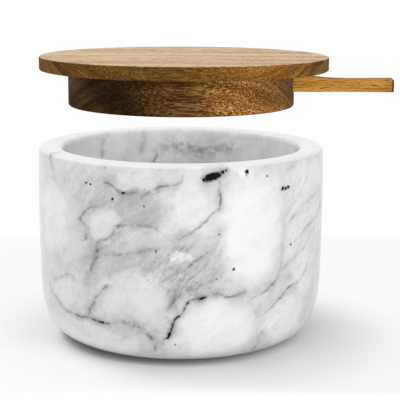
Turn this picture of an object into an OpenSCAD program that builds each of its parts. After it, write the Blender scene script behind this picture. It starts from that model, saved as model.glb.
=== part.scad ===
// Salt cellar: a marble bowl on four rubber pads, a two-step wooden lid and a small carved spoon
// that is stored in a slot under the lid. Millimetres, +Z up, origin on the table under the bowl's
// axis. The lid is drawn lifted off the bowl, with the spoon's handle along +X.

/* [Marble bowl] */
// Widest diameter of the bowl
bowl_d = 101.6; // [90:0.2:115]
// Height of the marble, without the pads
bowl_h = 67.5; // [60:0.5:80]
// Height of the widest ring above the marble's foot
widest_h = 46.4; // [42:0.2:52]
// Radius of the slight outward swell of the side
side_r = 940; // [600:10:1400]
// Radius of the upper part of the turn from the side to the foot
shoulder_r = 39.3; // [34:0.1:44]
// Radius of the lower, tighter part of that turn
corner_r = 12; // [8:0.5:16]
// Slope below the horizontal at which the tight part starts
corner_angle = 18.4; // [14:0.2:24]
// Thickness of the marble wall, from the widest ring to the mouth
wall_t = 8.8; // [7:0.1:11]
// Thickness of the marble floor
floor_t = 9.5; // [7:0.5:14]
// Slope of the inner wall, narrowing downwards
inner_draft = 1; // [0:0.1:2]
// Radius between the inner wall and the floor
inner_corner_r = 22; // [14:0.5:28]
// Radius of the rim's outer edge
rim_outer_r = 1.8; // [1:0.1:3]
// Radius of the rim's inner edge
rim_inner_r = 2; // [1:0.1:3]

/* [Foot pads] */
// Diameter of one pad
pad_d = 10; // [7:0.5:14]
// Thickness of one pad
pad_t = 1.2; // [0.8:0.1:2]
// Radius of the pad's lower edge
pad_edge_r = 0.4; // [0.2:0.1:0.6]
// Radius of the circle that the pads stand on
pad_circle_r = 28; // [20:0.5:30]

/* [Lid] */
// How much wider the disc is than the bowl
disc_extra_d = 0.3; // [0:0.1:4]
// Thickness of the disc
disc_t = 4.7; // [3.5:0.1:6.5]
// Radius of the disc's two edges
disc_edge_r = 0.6; // [0.3:0.1:1.2]
// How far the glued disc sits off the plug's axis, towards the handle
disc_shift = 1; // [0:0.1:1.6]
// Height of the plug
plug_h = 12.6; // [11:0.1:16]
// Free space between the plug and the bowl's mouth, all round
plug_gap = 2.1; // [1:0.1:3]
// Radius of the plug's lower edge
plug_edge_r = 0.9; // [0.4:0.1:1.6]
// Height of the plug's underside above the rim, with the lid lifted
lid_lift = 14.3; // [5:0.1:30]

/* [Spoon] */
// Length of the whole spoon
spoon_l = 72; // [64:0.5:76]
// How far the handle reaches out of the plug's side
handle_out = 35.5; // [28:0.5:40]
// Width of the pan
pan_w = 16.6; // [14:0.2:20]
// Length of the pan's rounded nose
pan_nose_l = 10; // [8:0.5:13]
// Where the pan starts to narrow, from the spoon's tip
pan_l = 20; // [17:0.5:23]
// Where the pan has narrowed to the neck, from the spoon's tip
neck_x = 36; // [33:0.5:38]
// Height of the pan
pan_h = 7.4; // [6.6:0.1:8]
// Height by which the nose's underside rises
nose_rise = 2.6; // [1:0.1:3.4]
// Depth of the hollow in the pan
hollow_depth = 4.6; // [3.4:0.1:5]
// Width of the wood left beside the hollow
pan_wall = 1.6; // [1.2:0.1:2.4]
// Where the top starts to fall towards the waist, from the spoon's tip
fall_x = 35; // [32:0.5:38]
// Width of the handle at the neck
neck_w = 8.8; // [7:0.1:10]
// Width of the handle at its end
handle_end_w = 10.4; // [8:0.1:12]
// Where the handle is thinnest, from the spoon's tip
waist_x = 59.5; // [54:0.5:61]
// Thickness of the handle where it is thinnest
waist_t = 4.25; // [3.4:0.05:5]
// Thickness that the handle gains from there to its end
end_gain_t = 0.2; // [0:0.05:0.8]
// Height of the shallow hollow along the handle's underside
underside_rise = 0.1; // [0:0.05:0.4]
// Radius of the spoon's long edges
spoon_edge_r = 0.9; // [0.4:0.1:1.4]
// Radius of the edge round the handle's end
end_r = 0.3; // [0.2:0.1:1.4]

/* [Fit of the spoon in its slot] */
// Free space over and under the pan in the slot
slot_gap = 0.3; // [0.2:0.05:0.5]
// Free space beside the pan in the slot
slot_side_gap = 0.5; // [0.3:0.1:1]
// Free space in front of the pan's nose
slot_end_gap = 0.6; // [0.4:0.1:1.5]

/* [Hidden] */
turned_fn = 180;
pad_fn = 64;
arc_steps = 12;
edge_steps = 5;
nose_steps = 7;
pan_steps = 12;
handle_steps = 12;
corner_steps = 4;
overrun = 1;

// Heights from the table upwards
rim_z = pad_t + bowl_h;
plug_z = rim_z + lid_lift;
disc_z = plug_z + plug_h;
pan_top_z = disc_z - slot_gap;
spoon_z = pan_top_z - pan_h;

// Turned sizes
bowl_r = bowl_d / 2;
mouth_r = bowl_r - wall_t;
plug_r = mouth_r - plug_gap;
disc_r = (bowl_d + disc_extra_d) / 2;

// The slot is cut from the plug's top face, so the disc closes it
slot_w = pan_w + 2 * slot_side_gap;
slot_depth = pan_h + 2 * slot_gap;
spoon_x = plug_r + handle_out - spoon_l;
slot_x = spoon_x - slot_end_gap;

// The hollow of the pan is a lying capsule, sunk into the pan by its depth
hollow_w = pan_w - 2 * pan_wall;
hollow_r = (pow(hollow_w / 2, 2) + pow(hollow_depth, 2)) / (2 * hollow_depth);
hollow_rise = hollow_r - hollow_depth;
hollow_start = pan_wall + hollow_w / 2;
hollow_end = max(hollow_start, pan_l + pan_wall);

// Points of an arc about [cx, cz], from angle a0 to angle a1
function arc(cx, cz, r, a0, a1, steps) =
    [for (i = [0 : steps]) let (a = a0 + (a1 - a0) * i / steps) [cx + r * cos(a), cz + r * sin(a)]];

// A smooth step from 0 to 1 as t goes from 0 to 1
function eased(t) = (1 - cos(180 * min(1, max(0, t)))) / 2;

// Outline of the bowl's outside, from the axis at the foot to the top of the rim. Three arcs run
// into each other without a kink: the swell of the side, the shoulder and the tight corner.
side_angle = asin((widest_h - shoulder_r * sin(corner_angle) - corner_r * (1 - sin(corner_angle)))
    / (side_r - shoulder_r));
side_cx = bowl_r - side_r;
shoulder_cx = side_cx + (side_r - shoulder_r) * cos(side_angle);
shoulder_cz = widest_h - (side_r - shoulder_r) * sin(side_angle);
corner_cx = shoulder_cx + (shoulder_r - corner_r) * cos(corner_angle);
rim_cz = bowl_h - rim_outer_r;
rim_angle = asin((rim_cz - widest_h) / (side_r - rim_outer_r));
rim_cx = side_cx + (side_r - rim_outer_r) * cos(rim_angle);

function outside_points() = concat(
    [[0, 0]],
    arc(corner_cx, corner_r, corner_r, -90, -corner_angle, arc_steps),
    arc(shoulder_cx, shoulder_cz, shoulder_r, -corner_angle, -side_angle, arc_steps),
    arc(side_cx, widest_h, side_r, -side_angle, rim_angle, arc_steps),
    arc(rim_cx, rim_cz, rim_outer_r, rim_angle, 90, edge_steps),
    [[0, bowl_h]]);

// Outline of the bowl's inside, from the axis on the floor to above the mouth. The wall runs from
// the mouth's edge down to the corner, turned in by the draft.
rim_in_cx = mouth_r + rim_inner_r;
rim_in_cz = bowl_h - rim_inner_r;
inner_cz = floor_t + inner_corner_r;
inner_top_x = rim_in_cx - rim_inner_r * cos(inner_draft);
inner_cx = inner_top_x - (rim_in_cz - inner_cz) * tan(inner_draft) - inner_corner_r / cos(inner_draft);

function inside_points() = concat(
    [[0, floor_t]],
    arc(inner_cx, inner_cz, inner_corner_r, -90, -inner_draft, arc_steps),
    arc(rim_in_cx, rim_in_cz, rim_inner_r, 180 - inner_draft, 90, edge_steps),
    [[rim_in_cx, bowl_h + overrun], [0, bowl_h + overrun]]);

module marble_bowl() {
    color("#e8e8ea")
        translate([0, 0, pad_t])
            rotate_extrude($fn = turned_fn)
                difference() {
                    polygon(outside_points());
                    polygon(inside_points());
                }
}

// A turned slab from z = 0 up, with rounded lower and upper edges
module turned_slab(r, h, low_r, high_r) {
    rotate_extrude($fn = turned_fn)
        polygon(concat(
            [[0, 0]],
            low_r > 0 ? arc(r - low_r, low_r, low_r, -90, 0, edge_steps) : [[r, 0]],
            high_r > 0 ? arc(r - high_r, h - high_r, high_r, 0, 90, edge_steps) : [[r, h]],
            [[0, h]]));
}

module lid_disc() {
    color("#a9845a")
        translate([disc_shift, 0, disc_z])
            turned_slab(disc_r, disc_t, disc_edge_r, disc_edge_r);
}

// The slot runs from its round inner end out through the plug's side
module spoon_slot() {
    translate([slot_x + slot_w / 2, 0, plug_h - slot_depth]) {
        cylinder(d = slot_w, h = slot_depth + overrun, $fn = pad_fn);
        translate([0, -slot_w / 2, 0])
            cube([plug_r + overrun, slot_w, slot_depth + overrun]);
    }
}

module lid_plug() {
    color("#6f4c2b")
        translate([0, 0, plug_z])
            difference() {
                turned_slab(plug_r, plug_h, plug_edge_r, 0);
                spoon_slot();
            }
}

// Half width of the spoon at the distance x from its tip
function pan_half_w(x) = pan_w / 2 * sqrt(1 - pow(1 - min(x, pan_nose_l) / pan_nose_l, 2));
function handle_half_w(x) =
    (neck_w + (handle_end_w - neck_w) * max(0, x - neck_x) / (spoon_l - neck_x)) / 2;
function half_w(x) = let (t = eased((x - pan_l) / (neck_x - pan_l)))
    pan_half_w(x) * (1 - t) + handle_half_w(x) * t;

// The top falls from the pan's rim to the waist in one hollow curve, steepest at the pan
function top_h(x) =
    x < waist_x
        ? min(pan_h, waist_t + underside_rise + (pan_h - waist_t - underside_rise)
            * pow(max(0, waist_x - x) / (waist_x - fall_x), 2))
        : waist_t + underside_rise
            + (end_gain_t - underside_rise) * eased((x - waist_x) / (spoon_l - waist_x));

// The underside rises at the nose and along the handle's middle
function underside_h(x) =
    nose_rise * pow(max(0, 1 - x / pan_nose_l), 2)
    + underside_rise * (x < waist_x
        ? eased((x - neck_x) / (waist_x - neck_x))
        : 1 - eased((x - waist_x) / (spoon_l - waist_x)));

// One cross-section: a rectangle with rounded corners, made smaller all round by inset. A corner
// takes no more than its share of a small section.
corner_w_share = 0.9;
corner_h_share = 0.45;
function section(x, at_x, inset) =
    let (hw = half_w(at_x) - inset,
        low = underside_h(at_x) + inset,
        high = top_h(at_x) - inset,
        r = min(spoon_edge_r, hw * corner_w_share, (high - low) * corner_h_share))
    [for (c = [0 : 3]) for (k = [0 : corner_steps])
        let (a = 90 * (c + k / corner_steps),
            y = (c == 0 || c == 3) ? hw - r : r - hw,
            z = c < 2 ? high - r : low + r)
        [x, y + r * cos(a), z + r * sin(a)]];

// Sections along the spoon: the nose in even angles, then the pan, the handle and its round end
nose_angle = 12;
end_angle = 80;
function nose_x(i) = pan_nose_l * (1 - cos(nose_angle + (90 - nose_angle) * i / nose_steps));
function run_x(i, from, to, steps) = from + (to - from) * i / steps;
spoon_sections = concat(
    [for (i = [0 : nose_steps - 1]) section(nose_x(i), nose_x(i), 0)],
    [for (i = [0 : pan_steps - 1]) let (x = run_x(i, pan_nose_l, neck_x, pan_steps)) section(x, x, 0)],
    [for (i = [0 : handle_steps - 1])
        let (x = run_x(i, neck_x, spoon_l - end_r, handle_steps)) section(x, x, 0)],
    [for (i = [0 : corner_steps])
        let (a = end_angle * i / corner_steps)
        section(spoon_l - end_r + end_r * sin(a), spoon_l - end_r, end_r * (1 - cos(a)))]);

// A closed skin over a list of rings that all have the same number of points
module skin(rings) {
    n = len(rings[0]);
    last = len(rings) - 1;
    sides = [for (i = [0 : last - 1]) for (j = [0 : n - 1]) for (half = [0, 1])
        let (a = i * n + j, b = i * n + (j + 1) % n)
        half == 0 ? [a, b, b + n] : [a, b + n, a + n]];
    caps = [[for (j = [n - 1 : -1 : 0]) j], [for (j = [0 : n - 1]) last * n + j]];
    polyhedron(points = [for (ring = rings) each ring], faces = concat(sides, caps), convexity = 4);
}

module pan_hollow() {
    translate([hollow_start, 0, pan_h + hollow_rise]) {
        sphere(r = hollow_r, $fn = pad_fn);
        rotate([0, 90, 0])
            cylinder(r = hollow_r, h = hollow_end - hollow_start, $fn = pad_fn);
        translate([hollow_end - hollow_start, 0, 0])
            sphere(r = hollow_r, $fn = pad_fn);
    }
}

module spoon() {
    color("#c08a45")
        translate([spoon_x, 0, spoon_z])
            difference() {
                skin(spoon_sections);
                pan_hollow();
            }
}

// Pads 1 to 4 stand at equal angles, two on each side of the handle's line
module foot_pad(k) {
    color("#3a3a3a")
        rotate([0, 0, 90 * k - 45])
            translate([pad_circle_r, 0, 0])
                rotate_extrude($fn = pad_fn)
                    polygon(concat(
                        [[0, 0]],
                        arc(pad_d / 2 - pad_edge_r, pad_edge_r, pad_edge_r, -90, 0, edge_steps),
                        [[pad_d / 2, pad_t], [0, pad_t]]));
}

marble_bowl();
lid_disc();
lid_plug();
spoon();
foot_pad(1);  // foot_pad_1
foot_pad(2);  // foot_pad_2
foot_pad(3);  // foot_pad_3
foot_pad(4);  // foot_pad_4
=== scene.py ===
"""Looks of a salt cellar: a marble bowl on rubber pads, a two-step acacia lid and a carved spoon.

Lengths are in metres unless a name ends in _mm. The bowl's axis is Z, the handle points along +X.
"""

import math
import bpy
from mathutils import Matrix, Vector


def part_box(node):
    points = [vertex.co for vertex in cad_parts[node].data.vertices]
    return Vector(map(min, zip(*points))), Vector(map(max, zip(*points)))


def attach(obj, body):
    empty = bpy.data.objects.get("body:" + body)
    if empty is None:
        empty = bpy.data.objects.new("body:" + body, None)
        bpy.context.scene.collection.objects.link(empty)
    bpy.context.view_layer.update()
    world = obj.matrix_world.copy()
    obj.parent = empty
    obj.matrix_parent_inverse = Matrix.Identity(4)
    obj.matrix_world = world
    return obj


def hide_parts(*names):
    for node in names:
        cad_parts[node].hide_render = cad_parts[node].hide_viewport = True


bl_info = {
    "name": "Salt cellar",
    "version": (1, 0, 0),
    "blender": (4, 5, 0),
    "location": "View3D > Sidebar > Salt Cellar",
    "description": "Marble salt bowl with an acacia lid and a carved spoon stored under the lid",
    "category": "Add Mesh",
}

from functools import partial

import bpy
from bpy.props import FloatProperty, FloatVectorProperty, IntProperty, PointerProperty
from mathutils import Matrix, Vector

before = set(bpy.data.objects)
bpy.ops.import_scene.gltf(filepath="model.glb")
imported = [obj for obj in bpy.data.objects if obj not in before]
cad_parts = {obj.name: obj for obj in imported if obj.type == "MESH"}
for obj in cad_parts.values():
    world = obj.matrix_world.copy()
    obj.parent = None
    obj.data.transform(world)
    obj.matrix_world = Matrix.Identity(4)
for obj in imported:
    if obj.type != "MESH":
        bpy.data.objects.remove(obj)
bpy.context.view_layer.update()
BOX = {node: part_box(node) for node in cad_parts}
BOWL_LOW, BOWL_HIGH = BOX["marble_bowl"]
DISC_LOW, DISC_HIGH = BOX["lid_disc"]
PLUG_LOW, PLUG_HIGH = BOX["lid_plug"]
SPOON_LOW, SPOON_HIGH = BOX["spoon"]
BOWL_SIZE = BOWL_HIGH - BOWL_LOW
SPOON_SIZE = SPOON_HIGH - SPOON_LOW
PAD_NODES = [node for node in sorted(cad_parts) if node.startswith("foot_pad")]

MM = 0.001
MM_PER_M = 1000
TINY = 0.01 * MM
ARC_STEPS = 14
EDGE_STEPS = 6
SMOOTH_ANGLE = math.radians(32)


def linear(hex_colour):
    """The linear red, green and blue of an sRGB hex colour."""
    channels = [int(hex_colour[i : i + 2], 16) / 255 for i in (1, 3, 5)]
    return tuple(c / 12.92 if c <= 0.04045 else ((c + 0.055) / 1.055) ** 2.4 for c in channels)


def length(name, description, default):
    """A length that a user can change."""
    return FloatProperty(
        name=name, description=description, default=default, min=0, unit="LENGTH", precision=5)


def angle(name, description, degrees):
    """An angle that a user can change."""
    return FloatProperty(name=name, description=description, default=math.radians(degrees), subtype="ANGLE")


def colour(name, description, hex_colour):
    """A colour that a user can change."""
    return FloatVectorProperty(
        name=name, description=description, default=linear(hex_colour), subtype="COLOR", min=0, max=1)


def plain(name, description, default):
    """A plain number that a user can change."""
    return FloatProperty(name=name, description=description, default=default, min=0)


class BowlSizes(bpy.types.PropertyGroup):
    """Sizes of the turned marble bowl."""

    widest_h: length("Widest height", "Height of the widest ring above the foot", 46.4 * MM)
    side_r: length("Side radius", "Radius of the slight outward swell of the side", 940 * MM)
    shoulder_r: length("Shoulder radius", "Upper part of the turn from the side to the foot", 39.3 * MM)
    corner_r: length("Corner radius", "Lower, tighter part of that turn", 12 * MM)
    corner_angle: angle("Corner angle", "Slope at which the tighter part starts", 18.4)
    wall_t: length("Wall", "Thickness of the wall from the widest ring to the mouth", 8.8 * MM)
    floor_t: length("Floor", "Thickness of the floor", 9.5 * MM)
    draft: angle("Draft", "Slope of the inner wall", 1)
    inner_corner_r: length("Inner corner", "Radius between the inner wall and the floor", 22 * MM)
    rim_outer_r: length("Outer rim radius", "Rounding of the rim's outer edge", 1.8 * MM)
    rim_inner_r: length("Inner rim radius", "Rounding of the rim's inner edge", 2 * MM)
    sides: IntProperty(name="Sides", description="Straight sides round a turned piece", default=192, min=24)
    white: colour("White", "The clear stone between the clouds", "#EAEAEA")
    pale: colour("Pale", "The thin cloud over most of the stone", "#D2D2D2")
    cloud: colour("Cloud", "The densest grey cloud", "#ACACAD")
    vein: colour("Vein", "The mineral in the cracks", "#0C0C0E")


class LidSizes(bpy.types.PropertyGroup):
    """Sizes and colours of the two glued steps of the lid."""

    disc_edge_r: length("Disc edge", "Rounding of the disc's two edges", 0.6 * MM)
    plug_edge_r: length("Plug edge", "Rounding of the plug's lower edge", 0.9 * MM)
    slot_w: length("Slot width", "Width of the spoon's slot", 17.6 * MM)
    slot_h: length("Slot height", "Height of the spoon's slot", 8 * MM)
    slot_start: length("Slot start", "Where the slot's round end lies, from the axis", 2.8 * MM)
    # The top's colours are paler than the edge's: painted light from above and painted sheen
    painted_lit_top_light: colour("Top, light wood", "Pale streaks of the disc's top", "#EDD8B8")
    painted_lit_top_mid: colour("Top, mid wood", "Most of the disc's top", "#DABD95")
    painted_lit_top_dark: colour("Top, dark wood", "Reddish streaks of the disc's top", "#B38C65")
    disc_light: colour("Disc, light wood", "Pale layers of the disc's edge", "#996F33")
    disc_mid: colour("Disc, mid wood", "Most of the disc's edge", "#724D1F")
    disc_dark: colour("Disc, dark wood", "Dark layers of the disc's edge", "#4C3011")
    plug_light: colour("Plug, light wood", "Golden layers of the plug", "#84663F")
    plug_mid: colour("Plug, mid wood", "Most of the plug", "#4E2F0D")
    plug_dark: colour("Plug, dark wood", "Heartwood of the plug", "#2B1905")


class SpoonSizes(bpy.types.PropertyGroup):
    """Sizes and colours of the carved spoon, with places measured from its tip."""

    nose_l: length("Nose", "Length of the pan's rounded nose", 10 * MM)
    pan_l: length("Pan", "Where the pan starts to narrow", 20 * MM)
    neck_x: length("Neck", "Where the pan has narrowed to the neck", 36 * MM)
    nose_rise: length("Nose rise", "Height by which the nose's underside rises", 2.6 * MM)
    hollow_depth: length("Hollow", "Depth of the hollow in the pan", 4.6 * MM)
    pan_wall: length("Pan wall", "Wood left beside the hollow", 1.6 * MM)
    neck_w: length("Neck width", "Width of the handle at the neck", 8.8 * MM)
    end_w: length("End width", "Width of the handle at its end", 10.4 * MM)
    fall_x: length("Fall", "Where the top starts to fall towards the waist", 35 * MM)
    waist_x: length("Waist", "Where the handle is thinnest", 59.5 * MM)
    waist_t: length("Waist thickness", "Thickness of the handle there", 4.25 * MM)
    end_gain: length("End gain", "Thickness gained from the waist to the end", 0.2 * MM)
    underside_rise: length("Underside", "Shallow hollow along the handle's underside", 0.1 * MM)
    edge_r: length("Long edges", "Rounding of the handle's long edges", 0.9 * MM)
    end_r: length("End edge", "Rounding of the edge round the handle's end", 0.3 * MM)
    end_skew: angle("End skew", "How far from square the handle's end is sawn", 3.2)
    light: colour("Light wood", "Pale bands", "#D39D4F")
    mid: colour("Wood", "Most of the spoon", "#BC8539")
    dark: colour("Dark wood", "Darker bands", "#9C6826")


class PadSizes(bpy.types.PropertyGroup):
    """Sizes and colour of the rubber pads."""

    edge_r: length("Pad edge", "Rounding of a pad's lower edge", 0.4 * MM)
    rubber: colour("Rubber", "Moulded rubber", "#2B2B2C")


class StageSetup(bpy.types.PropertyGroup):
    """Camera, lamps and floor."""

    camera_back: length("Camera distance", "From the bowl's axis to the camera, along Y", 425.8 * MM)
    camera_up: length("Camera height", "Above the floor", 129.75 * MM)
    camera_pitch: angle("Camera pitch", "Below the horizontal", 10.823)
    camera_yaw: angle("Camera yaw", "Turned towards +X", 0.922)
    camera_roll: angle("Camera roll", "Turned to the left", 0.298)
    lens_mm: plain("Lens", "Focal length on a 36 mm sensor", 108)
    key_power: plain("Key lamp", "Watts of the lamp behind on the left", 4.2)
    side_power: plain("Side lamp", "Watts of the lamp in front on the right", 3.2)
    front_power: plain("Front lamp", "Watts of the lamp over the camera", 2.0)
    world_level: plain("Sky", "Light of the white surroundings", 0.52)
    floor_w: length("Floor", "Width of the floor", 12)
    floor: colour("Floor", "Pale matt floor", "#F6F6F6")
    # Painted contact shade on the floor: the paleness left where it is darkest, to -X and to +X
    painted_contact_shade_left: plain("Contact, left", "Paleness left at the contact, to -X", 0.3)
    painted_contact_shade_right: plain("Contact, right", "The same, to +X", 0.75)
    floor_share: plain("Floor glow", "How white the floor is made beside the bowl", 0.7)


SETTINGS = {
    "salt_bowl": BowlSizes,
    "salt_lid": LidSizes,
    "salt_spoon": SpoonSizes,
    "salt_pads": PadSizes,
    "salt_stage": StageSetup,
}


# Outlines


def arc(cx, cz, radius, start, end, steps):
    """Points of an arc about (cx, cz) from one angle to another."""
    turns = [start + (end - start) * i / steps for i in range(steps + 1)]
    return [(cx + radius * math.cos(a), cz + radius * math.sin(a)) for a in turns]


def bowl_outline(s):
    """(radius, height) points from the foot up the outside, over the rim and down to the floor."""
    bowl_r, bowl_h = BOWL_SIZE.x / 2, BOWL_SIZE.z
    rise = s.widest_h - s.shoulder_r * math.sin(s.corner_angle) - s.corner_r * (1 - math.sin(s.corner_angle))
    side_angle = math.asin(rise / (s.side_r - s.shoulder_r))
    side_cx = bowl_r - s.side_r
    shoulder_cx = side_cx + (s.side_r - s.shoulder_r) * math.cos(side_angle)
    shoulder_cz = s.widest_h - (s.side_r - s.shoulder_r) * math.sin(side_angle)
    corner_cx = shoulder_cx + (s.shoulder_r - s.corner_r) * math.cos(s.corner_angle)
    rim_cz = bowl_h - s.rim_outer_r
    rim_angle = math.asin((rim_cz - s.widest_h) / (s.side_r - s.rim_outer_r))
    rim_cx = side_cx + (s.side_r - s.rim_outer_r) * math.cos(rim_angle)
    rim_in_cx = bowl_r - s.wall_t + s.rim_inner_r
    rim_in_cz = bowl_h - s.rim_inner_r
    inner_cz = s.floor_t + s.inner_corner_r
    inner_top = rim_in_cx - s.rim_inner_r * math.cos(s.draft)
    inner_cx = inner_top - (rim_in_cz - inner_cz) * math.tan(s.draft) - s.inner_corner_r / math.cos(s.draft)
    down, up = -math.pi / 2, math.pi / 2
    points = (
        arc(corner_cx, s.corner_r, s.corner_r, down, -s.corner_angle, ARC_STEPS)
        + arc(shoulder_cx, shoulder_cz, s.shoulder_r, -s.corner_angle, -side_angle, ARC_STEPS)[1:]
        + arc(side_cx, s.widest_h, s.side_r, -side_angle, rim_angle, ARC_STEPS)[1:]
        + arc(rim_cx, rim_cz, s.rim_outer_r, rim_angle, up, EDGE_STEPS)[1:]
        + arc(rim_in_cx, rim_in_cz, s.rim_inner_r, up, math.pi - s.draft, EDGE_STEPS)
        + arc(inner_cx, inner_cz, s.inner_corner_r, -s.draft, down, ARC_STEPS)
    )
    return [(r, BOWL_LOW.z + z) for r, z in points]


def slab_outline(low, high, low_r, high_r):
    """(radius, height) points up the side of a turned slab that fills a box, with rounded edges."""
    r = (high.y - low.y) / 2
    bottom = arc(r - low_r, low.z + low_r, low_r, -math.pi / 2, 0, EDGE_STEPS)
    top = arc(r - high_r, high.z - high_r, high_r, 0, math.pi / 2, EDGE_STEPS) if high_r else [(r, high.z)]
    return bottom + top


def eased(t):
    """A smooth step from 0 to 1 as t goes from 0 to 1."""
    return (1 - math.cos(math.pi * min(1, max(0, t)))) / 2


def spoon_section(s, x, inset=0):
    """(half width, low, high) of the spoon's section at the distance x from its tip."""
    whole, pan_w, pan_h = SPOON_SIZE
    narrowing = eased((x - s.pan_l) / (s.neck_x - s.pan_l))
    pan = pan_w / 2 * math.sqrt(1 - (1 - min(x, s.nose_l) / s.nose_l) ** 2)
    handle = (s.neck_w + (s.end_w - s.neck_w) * max(0, x - s.neck_x) / (whole - s.neck_x)) / 2
    past_waist = eased((x - s.waist_x) / (whole - s.waist_x))
    waist_top = s.waist_t + s.underside_rise
    if x < s.waist_x:
        fall = (s.waist_x - x) / (s.waist_x - s.fall_x)
        high = min(pan_h, waist_top + (pan_h - waist_top) * fall**3)
        hollow = eased((x - s.neck_x) / (s.waist_x - s.neck_x))
    else:
        high = waist_top + (s.end_gain - s.underside_rise) * past_waist
        hollow = 1 - past_waist
    low = s.nose_rise * max(0, 1 - x / s.nose_l) ** 2 + s.underside_rise * hollow
    return pan * (1 - narrowing) + handle * narrowing - inset, low + inset, high - inset


def spoon_stations(s):
    """(x, half width, low, high) from the spoon's tip to the end of its handle. The nose's first station
    and the end's last lie just short of a quarter turn, where a section would shrink to nothing."""
    whole = SPOON_SIZE.x
    first, last = math.radians(8), math.radians(84)
    nose_steps, run_steps, end_steps = 12, 40, 5
    turns = [first + (math.pi / 2 - first) * i / nose_steps for i in range(nose_steps)]
    places = [s.nose_l * (1 - math.cos(a)) for a in turns]
    run = whole - s.end_r - s.nose_l
    places += [s.nose_l + run * i / run_steps for i in range(run_steps)]
    stations = [(x, *spoon_section(s, x)) for x in places]
    for i in range(end_steps + 1):
        a = last * i / end_steps
        inset = s.end_r * (1 - math.cos(a))
        x = whole - s.end_r
        stations.append((x + s.end_r * math.sin(a), *spoon_section(s, x, inset)))
    return stations


# Modelling


def start_piece(name):
    """Names the primitive that was just added and opens it in edit mode, with all of it selected."""
    piece = bpy.context.active_object
    piece.name = piece.data.name = name
    bpy.ops.object.mode_set(mode="EDIT")
    bpy.ops.mesh.select_all(action="SELECT")
    return piece


def end_piece(piece, body, material, node):
    """Shades the piece, gives it its material, parents it to its body and hides its CAD node. The lid
    with its spoon and the rest are lit apart, so the lid doesn't darken the bowl."""
    bpy.ops.object.select_all(action="DESELECT")
    piece.select_set(True)
    bpy.context.view_layer.objects.active = piece
    bpy.ops.object.shade_smooth_by_angle(angle=SMOOTH_ANGLE)
    piece.data.materials.clear()
    piece.data.materials.append(material)
    piece.visible_diffuse = piece.visible_glossy = body == "bowl"
    lit_with(body).objects.link(piece)
    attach(piece, body)
    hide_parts(node)


def lit_with(body):
    """The collection of all that a set of lamps lights and that shades each other: the lid with its
    spoon, or the rest."""
    name = "lit_with_bowl" if body == "bowl" else "lit_with_lid"
    return bpy.data.collections.get(name) or bpy.data.collections.new(name)


def extrude_through(sections):
    """Moves the selected face to the first section, then extrudes and scales it from one to the next. A
    section is (centre, size), and the face has the size of the first and its middle at the origin."""
    centre, size = sections[0]
    bpy.ops.transform.translate(value=centre)
    for next_centre, next_size in sections[1:]:
        move = [after - before for before, after in zip(centre, next_centre)]
        bpy.ops.mesh.extrude_region_move(TRANSFORM_OT_translate={"value": move})
        growth = [after / before for before, after in zip(size, next_size)]
        bpy.ops.transform.resize(value=growth, center_override=next_centre)
        centre, size = next_centre, next_size


def turned(name, outline, centre):
    """A solid of revolution: a disc at the first point, extruded and scaled from point to point."""
    sides = bpy.context.scene.salt_bowl.sides
    bpy.ops.mesh.primitive_circle_add(vertices=sides, radius=outline[0][0], fill_type="NGON")
    piece = start_piece(name)
    extrude_through([((*centre, height), (radius, radius, 1)) for radius, height in outline])
    bpy.ops.mesh.select_all(action="SELECT")
    bpy.ops.mesh.remove_doubles(threshold=0.001 * MM)
    bpy.ops.mesh.normals_make_consistent(inside=False)
    bpy.ops.object.mode_set(mode="OBJECT")
    return piece


def cut(piece, cutter):
    """Takes the cutter out of the piece and removes it."""
    bpy.ops.object.select_all(action="DESELECT")
    bpy.context.view_layer.objects.active = piece
    piece.select_set(True)
    hole = piece.modifiers.new("cut", "BOOLEAN")
    hole.operation = "DIFFERENCE"
    hole.solver = "EXACT"
    hole.object = cutter
    bpy.ops.object.modifier_apply(modifier=hole.name)
    bpy.data.objects.remove(cutter)


def select_parts(piece, kind, wanted):
    """Selects the piece's vertices, "VERT", or edges, "EDGE", for which wanted(places of its ends) is true.
    The piece is in edit mode."""
    bpy.ops.mesh.select_mode(type=kind)
    bpy.ops.mesh.select_all(action="DESELECT")
    bpy.ops.object.mode_set(mode="OBJECT")
    vertices = piece.data.vertices
    for part in vertices if kind == "VERT" else piece.data.edges:
        ends = [part.index] if kind == "VERT" else part.vertices
        part.select = wanted([vertices[end].co for end in ends])
    bpy.ops.object.mode_set(mode="EDIT")


# Materials


# Smooth ends for a Map Range node
SMOOTH = {"interpolation_type": "SMOOTHSTEP"}


def add_node(tree, kind, inputs=(), **settings):
    """Adds a shader node of a kind with its settings, then sets or links its inputs, given in order or by
    name. A node given as an input is linked by its first output in use."""
    node = tree.nodes.new("ShaderNode" + kind)
    for name, value in settings.items():
        setattr(node, name, value)
    for name, value in inputs.items() if isinstance(inputs, dict) else enumerate(inputs):
        if isinstance(value, bpy.types.Node):
            value = next(socket for socket in value.outputs if socket.enabled)
        if isinstance(value, bpy.types.NodeSocket):
            tree.links.new(value, node.inputs[name])
        else:
            node.inputs[name].default_value = value
    return node


def start_nodes(owner):
    """Empties the node tree of a material or the world. Returns add_node for it."""
    owner.use_nodes = True
    owner.node_tree.nodes.clear()
    return partial(add_node, owner.node_tree)


def fill_curve(node, points):
    """Gives a Float Curve node its points, each (input, output) from 0 to 1."""
    curve = node.mapping.curves[0]
    curve.points[0].location = points[0]
    curve.points[1].location = points[-1]
    for point in points[1:-1]:
        curve.points.new(*point)
    for point in curve.points:
        point.handle_type = "AUTO_CLAMPED"
    node.mapping.update()


def fill_ramp(node, stops):
    """Gives a Color Ramp node its stops, each (place, linear colour)."""
    elements = node.color_ramp.elements
    elements.remove(elements[1])
    elements[0].position = stops[0][0]
    for place, _ in stops[1:]:
        elements.new(place)
    for element, (_, stop_colour) in zip(elements, stops):
        element.color = (*stop_colour, 1)


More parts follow.
